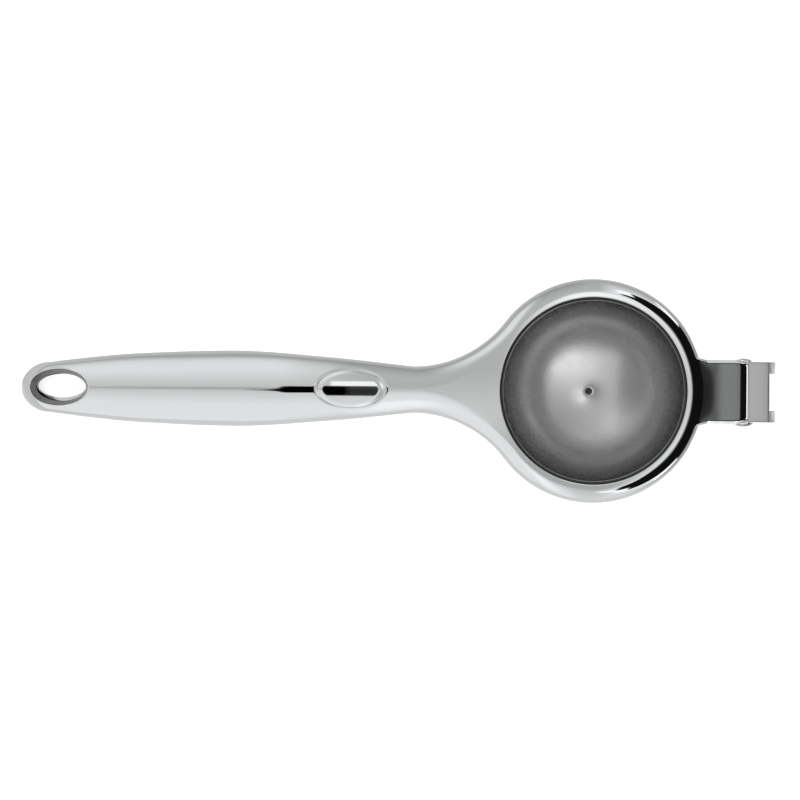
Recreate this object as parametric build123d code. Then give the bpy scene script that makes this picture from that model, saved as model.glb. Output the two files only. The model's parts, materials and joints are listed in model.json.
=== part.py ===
"""Hinged lemon squeezer: two cast arms on a riveted hinge pin, a press dish and a strainer cup.

Frame: the origin is the middle of the flat base under the strainer cup. +Z runs up the axis of
the cup and the dish, the handles lie toward -X and the hinge is on the +X side, with its pin
along Y. The arms are closed and the tool lies on the table, on the cup's base and its tail.
"""
from build123d import *
import math
import os

# ------------------------------------------------------------------ sizes in millimetres
# Levels
parting_z = 26.0             # plane where the two rings meet, above the table
upper_ring_height = 9.0
lower_ring_height = 9.0

# Rings
ring_radius = 34.7           # outside of both rings
ring_edge_width = 4.2        # rounding of the ring's outer edge, across
ring_edge_height = 5.1       # the same rounding, up and down
shoulder_share = 0.19        # part of that height which falls away straight from the flat lip
edge_power = 2.2             # 2 rounds the edges and the handles as an ellipse, more is squarer

# Press dish
dish_bore_radius = 28.9      # bore of the upper ring
dish_fit = 0.05              # radial play of the dish and the cup in their bores
dish_rim_drop = 0.5          # the dish's rim lies this far under the top of the ring
dish_rim_wall = 1.0
dish_wall = 1.2
dish_depth = 26.1            # inside, from rim to bottom
dish_flange_radius = 30.9
dish_flange_thickness = 1.9
flange_gap = 0.1             # each flange stays this far off the parting plane
pip_radius = 1.6             # pip in the middle of the dish
pip_tip_radius = 0.5
pip_height = 1.1

# Strainer cup
cup_clearance = 0.9          # from the top of the cup to the press dish's side
cup_wall = 1.5
cup_floor = 1.8
cup_base_radius = 12.2       # flat that the cup stands on
cup_flange_width = 1.7
cup_flange_thickness = 1.5
drain_radius = 1.3
drain_pitch = 6.5            # from one ring of drain holes to the next
drain_rows = 3

# Handles, in distances from the cup's axis
tip_at = 180.0
tail_at = 167.0              # also the middle of the hanging hole
rear_at = 140.0
widest_at = 112.0
front_at = 82.0
tip_half_width = 7.4
tail_half_width = 9.2
rear_half_width = 11.4
handle_half_width = 12.2
front_half_width = 10.25
neck_half_width = 7.6
flare_radius = 36.0          # concave sweep from the neck out to the ring
tip_rounding = 9.0           # length of the rounded end
tip_thickness = 6.3
tail_thickness = 7.9
rear_thickness = 9.3
handle_thickness = 11.0
front_thickness = 9.0
neck_thickness = 8.3
lower_thinning = 0.9         # the lower handle is this much thinner than the upper one
handle_gap = 1.5             # between the closed handles
handle_land = 1.2            # upright strip at the handle's parting edge
crown_share = 0.95           # the rounding reaches this much of the way to the handle's crest
flare_edge_width = 5.6       # rounding of the flare's edge where it runs into the ring
blend_depth = 0.4            # how far the end of a handle hides inside its ring
flare_root = 25.0            # where the flare's end is buried in the ring
ring_relief = 0.15           # the flares stay this far off the parting plane

# Hanging hole
hook_half_length = 9.4       # at the top of the upper handle
hook_half_width = 5.65
hook_taper = 1.3             # the hole narrows by this much down to the parting
# Badge
badge_at = 75.0
badge_half_length = 10.4
badge_half_width = 5.8
badge_moat = 0.2             # groove round the inlay
badge_pocket_depth = 2.0
badge_rise = 0.35            # the inlay stands this proud of the handle

# Hinge
pin_at = 47.7                # pin, from the cup's axis
pin_below_parting = 5.5
pin_radius = 2.0
pin_clearance = 0.05         # radial, in the cheeks
head_radius = 2.6
head_height = 1.2
tail_dome_radius = 2.3
tail_dome_height = 0.75
washer_radius = 2.95
washer_thickness = 0.65
side_play = 0.1              # between each pin end and its cheek
tab_half_width = 9.9
tab_height = 6.8             # top of the tab at the foot of its ramp, above the parting
tab_fall = 0.6               # the tab falls by this much from its ramp to its rounded end
tab_end_at = 48.1
tab_end_run = 2.6            # length of the rounded end
tab_end_rounding = 3.0       # its radius
cap_step = 3.3               # from the top of the tab down to the cap
tab_ramp_length = 8.5        # hollow run from the ring down onto the tab
tab_fillet = 2.5             # in plan, between ring and tab
cap_half_width = 9.4
cap_end_at = 54.9
cap_thickness = 2.4
cheek_end_at = 57.2
cheek_corner = 4.9
cheek_radius = 8.0
cheek_thickness = 3.65
web_reach = 11.2             # the cheeks' webs start this far before the pin
knuckle_clearance = 0.4      # knuckle to the underside of the cap
knuckle_side_play = 0.25
heel_depth = 8.3             # stop heel under the pin
neck_step = 0.5              # the hinge's neck lies this far under the parting plane
root_overlap = 1.0           # how far the hinge's roots reach into the rings
open_stop_deg = 111.0        # arms wide open, with the cap flat on the heel

# ------------------------------------------------------------------ what follows from them
upper_top_z = parting_z + upper_ring_height
lower_bottom_z = parting_z - lower_ring_height
pin_z = parting_z - pin_below_parting
tab_top_z = parting_z + tab_height
cap_top_z = tab_top_z - cap_step
cap_under_z = cap_top_z - cap_thickness
cap_inner = cap_under_z - pin_z
knuckle_radius = cap_inner - knuckle_clearance
dish_rim_z = upper_top_z - dish_rim_drop
dish_collar_radius = dish_bore_radius - dish_fit
dish_rim_radius = dish_collar_radius - dish_rim_wall
dish_side_radius = dish_collar_radius * math.sqrt(
    1 - ((dish_rim_z - parting_z) / (dish_depth + dish_wall)) ** 2)
cup_rim_radius = dish_side_radius + cup_clearance
cup_collar_radius = cup_rim_radius + cup_wall
cup_flange_radius = cup_collar_radius + cup_flange_width
neck_at = math.sqrt((ring_radius + flare_radius) ** 2 - (neck_half_width + flare_radius) ** 2)
flare_end = neck_at * ring_radius / (ring_radius + flare_radius)
BASE_UP = (Align.CENTER, Align.CENTER, Align.MIN)


def through_points(points, x):
    """Smooth curve through (x, value) points in rising x, with no overshoot between them."""
    spans = [b[0] - a[0] for a, b in zip(points, points[1:])]
    rises = [(b[1] - a[1]) / span for a, b, span in zip(points, points[1:], spans)]
    slopes = [rises[0]]
    for before, after in zip(rises, rises[1:]):
        slopes.append(0.0 if before * after <= 0 else 2 * before * after / (before + after))
    slopes.append(rises[-1])
    x = min(max(x, points[0][0]), points[-1][0])
    i = next(k for k in range(len(spans)) if x <= points[k + 1][0])
    t = (x - points[i][0]) / spans[i]
    return ((1 + 2 * t) * (1 - t) ** 2 * points[i][1] + t * t * (3 - 2 * t) * points[i + 1][1]
            + t * (1 - t) ** 2 * spans[i] * slopes[i] - t * t * (1 - t) * spans[i] * slopes[i + 1])


def tip_factor(at):
    """Quarter circle that closes the handle's end, 1 before the rounding and 0 at the tip."""
    inside = min((tip_at - at) / tip_rounding, 1.0)
    return math.sqrt(1 - (1 - inside) ** 2)


def half_width(at):
    """Half the width of both arms, at a distance from the cup's axis."""
    if at >= neck_at:
        body = through_points([(neck_at, neck_half_width), (front_at, front_half_width),
                               (widest_at, handle_half_width), (rear_at, rear_half_width),
                               (tail_at, tail_half_width), (tip_at, tip_half_width)], at)
        return body * tip_factor(at)
    if at >= flare_end:
        return neck_half_width + flare_radius - math.sqrt(flare_radius ** 2 - (neck_at - at) ** 2)
    return math.sqrt(ring_radius ** 2 - at ** 2) - blend_depth


def thickness(at, thinning):
    """Height of a handle over its parting face, thinned by a given amount past the neck."""
    body = through_points([(ring_radius, upper_ring_height - blend_depth),
                           (neck_at, neck_thickness - thinning),
                           (front_at, front_thickness - thinning),
                           (widest_at, handle_thickness - thinning),
                           (rear_at, rear_thickness - thinning),
                           (tail_at, tail_thickness - thinning),
                           (tip_at, tip_thickness - thinning)], at)
    return body * tip_factor(at)


def droop_share(at):
    """Share of the whole droop: none up to the neck, growing as a parabola to the tip."""
    return (max(at - neck_at, 0.0) / (tip_at - neck_at)) ** 2


def whole_droop():
    """The handles droop until the tail of the lower one touches the table."""
    places = [rear_at + k * (tip_at - rear_at) / 40 for k in range(40)]
    room = parting_z - handle_gap / 2
    return min((room - thickness(at, lower_thinning)) / droop_share(at) for at in places)


handle_droop = whole_droop()


def parting_height(at):
    """Height of the middle of the gap between the closed handles."""
    return parting_z - handle_droop * droop_share(at)


def edge_width(at):
    """How far the rounding of the handle's edge reaches in from its outline."""
    if at >= neck_at:
        return half_width(at) * crown_share
    share = min((neck_at - at) / (neck_at - flare_end), 1.0)
    return neck_half_width * crown_share * (1 - share) + flare_edge_width * share


def rounded(share):
    """Height of a rounded edge, 0 at its foot and 1 where it runs out, at a share of its width."""
    return (1 - (1 - share) ** edge_power) ** (1 / edge_power)


def rounding_shares(steps=6):
    """Places across a rounded edge, closer together at its steep foot."""
    return [1 - math.cos(k * math.pi / 2 / steps) for k in range(steps + 1)]


def handle_section(at, sign, thinning):
    """Cross-section of a handle: flat parting face, upright lands and a domed back."""
    height = thickness(at, thinning)
    apart = min(max((at - ring_radius) / (neck_at - ring_radius), 0.0), 1.0)
    foot = parting_height(at) + sign * (ring_relief + (handle_gap / 2 - ring_relief) * apart)
    land = handle_land * tip_factor(at)
    side = [(half_width(at) - edge_width(at) * share, land + (height - land) * rounded(share))
            for share in rounding_shares()]
    back = side + [(0, height)] + [(-y, z) for y, z in reversed(side)]
    back = [(-at, y, foot + sign * z) for y, z in back]
    right, left = (-at, half_width(at), foot), (-at, -half_width(at), foot)
    return Wire([Edge.make_line(left, right), Edge.make_line(right, back[0]),
                 Edge.make_spline(back), Edge.make_line(back[-1], left)])


def handle(sign, thinning=0.0):
    """A whole handle, from just inside its ring to the tip: +1 is the upper one, -1 the lower."""
    stretches = [(flare_root, neck_at, 7), (neck_at, tip_at - tip_rounding, 12)]
    sections = [[start + (end - start) * k / steps for k in range(steps + 1)]
                for start, end, steps in stretches]
    sections.append([tip_at - tip_rounding * share for share in (1, 0.75, 0.5, 0.28, 0.12, 0.03)])
    return Part() + [Solid.make_loft([handle_section(at, sign, thinning) for at in places])
                     for places in sections]


def turned(runs):
    """Solid of revolution about Z, from a closed profile of runs of (radius, z) points.

    A run of two points is a straight line and a longer one is a smooth curve.
    """
    edges = []
    for run in runs:
        spots = [(radius, 0, z) for radius, z in run]
        edges.append(Edge.make_line(*spots) if len(spots) == 2 else Edge.make_spline(spots))
    return revolve(Face(Wire(edges)), Axis.Z)


def corners(*spots):
    """Straight runs from corner to corner of a profile."""
    return [list(pair) for pair in zip(spots, spots[1:])]


def ring(height, sign):
    """Cast ring, still solid, with one rounded outer edge, up or down from the parting plane."""
    far = parting_z + sign * height
    edge = []
    for share in rounding_shares():
        drop = 1 - shoulder_share * share - (1 - shoulder_share) * rounded(share)
        edge.append((ring_radius - ring_edge_width * share, far - sign * ring_edge_height * drop))
    return turned([edge] + corners(edge[-1], (0, far), (0, parting_z), (ring_radius, parting_z), edge[0]))


def bore(radius, from_z, to_z):
    """Upright cylinder about the cup's axis."""
    return Pos(0, 0, (from_z + to_z) / 2) * Cylinder(radius, abs(to_z - from_z))


def bowl_run(rim_radius, rim_z, depth, from_z, to_z, steps=9):
    """Points down the side of an elliptical bowl, from one level to another."""
    first, last = math.asin((rim_z - from_z) / depth), math.asin(min((rim_z - to_z) / depth, 1.0))
    angles = [first + k * (last - first) / steps for k in range(steps + 1)]
    return [(rim_radius * math.cos(a), rim_z - depth * math.sin(a)) for a in angles]


def plate_xz(outline, half):
    """Plate as thick as twice the half-width, from an outline whose x and y are X and Z."""
    return extrude(Plane.XZ * outline, amount=half, both=True)


def hook_plug():
    """The hanging hole through both handles, widest at the top and waisted at the parting."""
    waist_z = parting_height(tail_at)
    mouth_z = waist_z + thickness(tail_at, 0.0)
    waist = Pos(-tail_at, 0, waist_z) * Ellipse(hook_half_length - hook_taper, hook_half_width - hook_taper)
    mouth = Pos(-tail_at, 0, mouth_z) * Ellipse(hook_half_length, hook_half_width)
    return (loft([waist, mouth]) + extrude(mouth, amount=tail_thickness)
            + extrude(waist, amount=-2 * waist_z))


def pin_bore(radius):
    """Cylinder along the hinge pin's axis, longer than the hinge is wide."""
    return Location((pin_at, 0, pin_z), (90, 0, 0)) * Cylinder(radius, 4 * tab_half_width)


# ------------------------------------------------------------------ upper arm
def hinge_tab():
    """Tab on the upper ring with its ramp and rounded end, and the cap that steps down from it."""
    root = ring_radius - ring_edge_width - root_overlap
    ramp_run, ramp_rise = root_overlap + tab_ramp_length, upper_top_z - tab_top_z
    ramp = [(root + ramp_run * k / 6, tab_top_z + ramp_rise * (1 - k / 6) ** 3) for k in range(7)]
    round_start, round_end = (tab_end_at - tab_end_run, tab_top_z - tab_fall), (tab_end_at, cap_top_z)
    tab_side = Spline(*ramp) + Line(ramp[-1], round_start)
    tab_side += RadiusArc(round_start, round_end, tab_end_rounding)
    tab_side += Polyline(round_end, (tab_end_at, cap_under_z), (root, cap_under_z), ramp[0])
    cap_middle = Pos((root + cap_end_at) / 2, (cap_top_z + cap_under_z) / 2)
    cap = cap_middle * Rectangle(cap_end_at - root, cap_thickness)
    return plate_xz(make_face(tab_side), tab_half_width) + plate_xz(cap, cap_half_width)


def tab_corners():
    """Concave fillets, in plan, between the upper ring and its tab."""
    centre_y = tab_half_width + tab_fillet
    centre_x = math.sqrt((ring_radius + tab_fillet) ** 2 - centre_y ** 2)
    block = Pos(centre_x / 2, 0) * Rectangle(centre_x, 2 * centre_y)
    for side in (1, -1):
        block -= Pos(centre_x, side * centre_y) * Circle(tab_fillet)
    return extrude(Pos(0, 0, cap_under_z) * block, amount=cap_thickness)


def cheeks():
    """The two plates that hang from the cap and turn on the pin."""
    corner = Pos(cheek_end_at - pin_at - cheek_corner, cap_top_z - pin_z - cheek_corner) * Circle(cheek_corner)
    web = Pos(-web_reach, cap_inner + cap_thickness / 2) * Circle(cap_thickness / 2)
    outline = make_hull([*Circle(cheek_radius).edges(), *corner.edges(), *web.edges()])
    plates = plate_xz(Pos(pin_at, pin_z) * outline, cap_half_width)
    slot_width = 2 * (cap_half_width - cheek_thickness)
    slot = Box(4 * cheek_radius, slot_width, 3 * cheek_radius, align=(Align.CENTER, Align.CENTER, Align.MAX))
    return plates - Pos(pin_at, 0, cap_under_z) * slot


def badge_plug(inset):
    """Upright oval plug over the badge pocket's floor, inset from the pocket's outline."""
    floor_z = parting_height(badge_at) + thickness(badge_at, 0.0) - badge_pocket_depth
    oval = Ellipse(badge_half_length - inset, badge_half_width - inset)
    return extrude(Pos(-badge_at, 0, floor_z) * oval, amount=2 * badge_half_length)


def make_upper_arm():
    """Casting with the upper handle, the dish's ring and the forked end of the hinge."""
    counterbore_z = parting_z + flange_gap + dish_flange_thickness
    body = handle(1) + ring(upper_ring_height, 1) + tab_corners() + hinge_tab() + cheeks()
    body -= bore(dish_bore_radius, parting_z, upper_top_z + upper_ring_height)
    body -= bore(dish_flange_radius + dish_fit, parting_z - flange_gap, counterbore_z)
    body -= hook_plug() + badge_plug(0) + pin_bore(pin_radius + pin_clearance)
    return body


def make_press_dish():
    """Spun dish: bowl inside, collar and flange outside, and a pip in the middle."""
    bottom_z = dish_rim_z - dish_depth
    under_z, flange_top_z = parting_z + flange_gap, parting_z + flange_gap + dish_flange_thickness
    inner = bowl_run(dish_rim_radius, dish_rim_z, dish_depth, dish_rim_z, bottom_z)
    outer = bowl_run(dish_collar_radius, dish_rim_z, dish_depth + dish_wall, under_z, bottom_z - dish_wall)
    dish = turned([inner] + corners(inner[-1], outer[-1]) + [outer[::-1]]
                  + corners(outer[0], (dish_flange_radius, under_z), (dish_flange_radius, flange_top_z),
                            (dish_collar_radius, flange_top_z), (dish_collar_radius, dish_rim_z), inner[0]))
    pip = Cone(pip_radius, pip_tip_radius, pip_height + dish_wall / 2, align=BASE_UP)
    return dish + Pos(0, 0, bottom_z - dish_wall / 2) * pip


def make_handle_badge():
    """Plain domed oval that sits in the badge pocket and follows the handle's crown."""
    return badge_plug(badge_moat) & (Pos(0, 0, badge_rise) * handle(1))


# ------------------------------------------------------------------ lower arm
def knuckle():
    """Neck and knuckle between the cheeks, with the heel that stops the arms wide open."""
    turn = math.radians(open_stop_deg)
    touch = (cap_inner * math.sin(turn), cap_inner * math.cos(turn))
    run = (heel_depth + touch[1]) / math.sin(turn)
    toe = (touch[0] + run * math.cos(turn), -heel_depth)
    root_x = ring_radius - ring_edge_width - root_overlap - pin_at
    neck_top = pin_below_parting - neck_step
    root_z = lower_bottom_z + root_overlap - pin_z
    side = Polyline((0, 0), touch, toe, (-knuckle_radius, -heel_depth), (root_x, root_z),
                    (root_x, neck_top), (0, neck_top), (0, 0))
    outline = make_face(side) + Circle(knuckle_radius)
    return plate_xz(Pos(pin_at, pin_z) * outline, cap_half_width - cheek_thickness - knuckle_side_play)


def make_lower_arm():
    """Casting with the lower handle, the cup's ring and the knuckle of the hinge."""
    body = handle(-1, lower_thinning) + ring(lower_ring_height, -1) + knuckle()
    seat_z = parting_z - flange_gap - cup_flange_thickness
    body -= bore(cup_collar_radius + dish_fit, lower_bottom_z - lower_ring_height, upper_top_z)
    body -= bore(cup_flange_radius + dish_fit, seat_z, upper_top_z)
    body -= hook_plug() + pin_bore(pin_radius)
    return body


def cup_run(rim_radius, floor_z, from_z):
    """Side of a bowl that reaches its flat floor at the base radius."""
    depth = (parting_z - floor_z) / math.sqrt(1 - (cup_base_radius / rim_radius) ** 2)
    return bowl_run(rim_radius, parting_z, depth, from_z, floor_z)


def make_strainer_cup():
    """Cup with a flange in the lower ring, and drain holes in rings round a plain flat middle."""
    top_z = parting_z - flange_gap
    under_z = top_z - cup_flange_thickness
    inner = cup_run(cup_rim_radius, cup_floor, top_z)
    outer = cup_run(cup_collar_radius, 0, under_z)
    cup = turned([inner] + corners(inner[-1], (0, cup_floor), (0, 0), outer[-1]) + [outer[::-1]]
                 + corners(outer[0], (cup_flange_radius, under_z), (cup_flange_radius, top_z), inner[0]))
    for row in range(1, drain_rows + 1):
        for place in PolarLocations(row * drain_pitch, 6 * row):
            cup -= place * Cylinder(drain_radius, 2 * parting_z)
    return cup


# ------------------------------------------------------------------ hinge
def make_hinge_pin():
    """Rivet along Y with a domed head at +Y and a tail peened over the washer."""
    head_y, tail_y = cap_half_width + side_play, cap_half_width + side_play + washer_thickness
    shank = Pos(0, 0, (head_y - tail_y) / 2) * Cylinder(pin_radius, head_y + tail_y)
    head = Pos(0, 0, head_y) * dome(head_radius, head_height)
    tail = Pos(0, 0, -tail_y) * Rot(180, 0, 0) * dome(tail_dome_radius, tail_dome_height)
    return Location((pin_at, 0, pin_z), (-90, 0, 0)) * (shank + head + tail)


def dome(radius, height):
    """Cap of a ball, standing on z = 0."""
    ball = (radius ** 2 + height ** 2) / (2 * height)
    return Pos(0, 0, height - ball) * Sphere(ball) & Cylinder(2 * radius, 2 * height, align=BASE_UP)


def make_pin_washer():
    """Flat washer between the -Y cheek and the rivet's peened tail."""
    disc = Cylinder(washer_radius, washer_thickness) - Cylinder(pin_radius, washer_thickness)
    middle_y = cap_half_width + side_play + washer_thickness / 2
    return Location((pin_at, -middle_y, pin_z), (90, 0, 0)) * disc


PIECES = {
    "upper_arm": make_upper_arm,
    "press_dish": make_press_dish,
    "handle_badge": make_handle_badge,
    "lower_arm": make_lower_arm,
    "strainer_cup": make_strainer_cup,
    "hinge_pin": make_hinge_pin,
    "pin_washer": make_pin_washer,
}

os.makedirs("parts", exist_ok=True)
for name, make in PIECES.items():
    export_step(make(), f"parts/{name}.step")
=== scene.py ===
import json
import math

import bmesh
import bpy
import numpy as np
from bpy.props import FloatProperty, FloatVectorProperty, PointerProperty
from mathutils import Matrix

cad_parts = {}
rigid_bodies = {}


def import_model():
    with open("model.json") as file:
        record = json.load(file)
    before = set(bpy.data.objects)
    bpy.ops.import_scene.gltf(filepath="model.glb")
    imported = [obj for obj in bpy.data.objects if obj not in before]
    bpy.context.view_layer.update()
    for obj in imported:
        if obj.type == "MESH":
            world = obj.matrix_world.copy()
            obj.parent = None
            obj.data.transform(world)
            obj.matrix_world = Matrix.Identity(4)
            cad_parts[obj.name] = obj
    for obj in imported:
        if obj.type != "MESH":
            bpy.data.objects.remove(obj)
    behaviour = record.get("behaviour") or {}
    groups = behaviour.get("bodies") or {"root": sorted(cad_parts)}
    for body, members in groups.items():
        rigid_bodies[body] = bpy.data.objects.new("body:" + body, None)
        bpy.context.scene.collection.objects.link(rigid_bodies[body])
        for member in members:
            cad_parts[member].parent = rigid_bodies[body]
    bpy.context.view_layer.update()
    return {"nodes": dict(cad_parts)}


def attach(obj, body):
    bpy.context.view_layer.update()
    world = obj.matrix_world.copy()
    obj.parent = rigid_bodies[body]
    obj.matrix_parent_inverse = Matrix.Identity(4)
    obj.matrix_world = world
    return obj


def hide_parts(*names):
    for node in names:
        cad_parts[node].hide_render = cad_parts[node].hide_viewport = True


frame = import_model()

bl_info = {
    "name": "Hinged lemon squeezer",
    "version": (1, 0, 0),
    "blender": (4, 5, 0),
    "location": "View3D > Sidebar > Squeezer",
    "description": "Polished surfaces, finishes and studio for a hinged lemon squeezer",
    "category": "Object",
}

MM = 0.001
LOWER_THINNING = 0.9      # millimetres by which the lower handle is thinner than the upper one
HOOK_TAPER = 1.3 * MM     # the hanging hole narrows by this much down to the parting
GROOVE_WIDTH = 1.1 * MM   # the handle dips softly into the groove round the badge
GROOVE_DEPTH = 0.3 * MM
BADGE_MOAT = 0.08 * MM    # gap between the handle and the inlay
BADGE_CROWN = 50 * MM     # radius of the inlay's crown across the handle
TAB_FILLET = 2.5 * MM     # in plan, between the ring and the hinge's tab
TAB_FLAT_END = 45.4 * MM  # the tab's end starts to bend down here
TAB_END_TILT = math.radians(36)
BLOCK_FOOT = 1.1 * MM     # the tab and the cap reach down to this height over the parting plane
HOLE_SHIFT = 0.45 * MM    # the lower handle's hole sits this far to +Y, so a sliver of it shows
HOLE_NARROWING = 0.6 * MM

# The cheek is drawn round three circles, at the pin, the back corner and the web: their places
# along X and Z from the pin and their radii, in millimetres.
CHEEK_CIRCLES = ((0.0, 0.0, 8.0), (4.6, 3.8, 4.9), (-11.2, 7.6, 1.2))

# The knuckle in millimetres from the pin: its radius, its top, the start and the foot of its neck,
# and the reach, the angle in degrees and the foot of its stop heel.
KNUCKLE_RADIUS, KNUCKLE_TOP, NECK_START, NECK_FOOT = 6.2, 5.0, -17.6, -2.5
HEEL_REACH, HEEL_ANGLE, HEEL_FOOT = 6.6, 111, -8.3

# The dish in millimetres: radius and height of its rim, its wall and collar, its flange, and the
# height, width and foot of the pip in its middle.
DISH_RIM, DISH_RIM_Z, DISH_WALL, DISH_COLLAR = 27.85, 34.5, 1.2, 28.85
FLANGE_RIM, FLANGE_TOP, FLANGE_UNDER = 30.9, 28.0, 26.1
PIP_HEIGHT, PIP_WIDTH, PIP_FOOT = 0.15, 1.1, 3.4


def linear_rgb(hex_code):
    """Linear red, green and blue of an sRGB colour written as six hex digits."""
    parts = [int(hex_code[i:i + 2], 16) / 255 for i in (0, 2, 4)]
    return tuple(p / 12.92 if p <= 0.04045 else ((p + 0.055) / 1.055) ** 2.4 for p in parts)


def length(name, mm, description):
    """A size property, written in millimetres and kept in metres."""
    return FloatProperty(name=name, description=description, default=mm * MM, min=0.0, unit="LENGTH")


def colour(name, hex_code, description):
    """A colour property, written as sRGB hex and kept linear."""
    return FloatVectorProperty(name=name, description=description, default=linear_rgb(hex_code),
                               min=0.0, max=1.0, subtype="COLOR")


class SqueezerSizes(bpy.types.PropertyGroup):
    """Sizes of the castings, the dish and the hinge."""
    parting: length("Parting height", 26.0, "Height of the plane where the two rings meet")
    ring_radius: length("Ring radius", 34.7, "Outside radius of both rings")
    ring_height: length("Ring height", 9.0, "Height of each ring over the parting plane")
    ring_edge: length("Ring edge width", 4.2, "Reach of the ring's rounded outer edge")
    ring_drop: length("Ring edge height", 5.1, "Height of the ring's rounded outer edge")
    dish_bore: length("Dish bore", 28.9, "Radius of the upper ring's bore")
    dish_seat: length("Dish seat", 30.95, "Radius of the dish flange's seat")
    cup_bore: length("Cup bore", 29.87, "Radius of the lower ring's bore")
    cup_seat: length("Cup seat", 31.57, "Radius of the cup flange's seat")
    flare_radius: length("Flare radius", 36.0, "Concave sweep from the neck to the ring")
    handle_gap: length("Handle gap", 1.5, "Gap between the closed handles")
    hook_long: length("Hanging hole length", 9.4, "Half the length of the hanging hole")
    hook_wide: length("Hanging hole width", 5.65, "Half the width of the hanging hole")
    badge_long: length("Badge pocket length", 10.4, "Half the length of the badge pocket")
    badge_wide: length("Badge pocket width", 5.8, "Half the width of the badge pocket")
    dish_depth: length("Dish depth", 26.1, "Depth of the press dish inside")
    tab_half: length("Tab half width", 9.9, "Half the width of the hinge tab")
    tab_end: length("Tab end", 48.1, "Distance of the tab's rounded end from the cup's axis")
    cap_half: length("Cap half width", 9.4, "Half the width of the hinge's cap and cheeks")
    cap_end: length("Cap end", 54.9, "Distance of the cap's end from the cup's axis")
    cap_height: length("Cap height", 3.5, "Height of the cap over the parting plane")
    pin_distance: length("Pin distance", 47.7, "Distance of the hinge pin from the cup's axis")
    pin_drop: length("Pin drop", 5.5, "Depth of the hinge pin under the parting plane")


class SqueezerFinish(bpy.types.PropertyGroup):
    """Colours of the finishes."""
    chrome: colour("Chrome", "E3E5E6", "Bright chrome plate on the castings")
    ground: colour("Ground chrome", "DADBDA", "Satin-ground chrome on the hinge's cap")
    steel: colour("Spun steel", "B4B4B4", "Spun stainless steel of dish and cup")
    rivet: colour("Rivet steel", "C4C5C5", "Bare steel of the rivet and its washer")
    # dark colour of the hanging hole's walls, the dish's rim seam and the pip's top: a dull thin plate
    # there, with painted shade darkening it
    shaded_recess: colour("Recess plate", "363738", "Dull chrome plate on the walls of the hanging hole")


# ---------------------------------------------------------------- shapes
def through_points(points, x):
    """Smooth curve through (x, value) points: cubic pieces whose slopes at the points are the
    harmonic means of the slopes on both sides, so that it never overshoots."""
    places, values = np.array(points, float).T
    spans = np.diff(places)
    rises = np.diff(values) / spans
    before, after = rises[:-1], rises[1:]
    total = np.where(before * after > 0, before + after, 1.0)
    inner = np.where(before * after > 0, 2 * before * after / total, 0.0)
    slopes = np.concatenate([rises[:1], inner, rises[-1:]])
    x = np.clip(x, places[0], places[-1])
    i = np.clip(np.searchsorted(places, x) - 1, 0, len(spans) - 1)
    t = (x - places[i]) / spans[i]
    return ((1 + 2 * t) * (1 - t) ** 2 * values[i] + t * t * (3 - 2 * t) * values[i + 1]
            + t * (1 - t) ** 2 * spans[i] * slopes[i] - t * t * (1 - t) * spans[i] * slopes[i + 1])


def smooth(t):
    """Cubic step from 0 to 1, level at both ends."""
    t = np.clip(t, 0.0, 1.0)
    return t * t * (3 - 2 * t)


def rounded(share, power=2.2):
    """Superellipse edge: 0 at its foot, where it stands upright, and 1 where it runs out level."""
    return (1 - (1 - np.clip(share, 0.0, 1.0)) ** power) ** (1 / power)


def smooth_max(a, b, reach):
    """The larger of two heights, with the crease between them filled by a parabola."""
    near = np.clip(1 - np.abs(a - b) / reach, 0.0, 1.0)
    return np.maximum(a, b) + near * near * reach / 4


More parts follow.
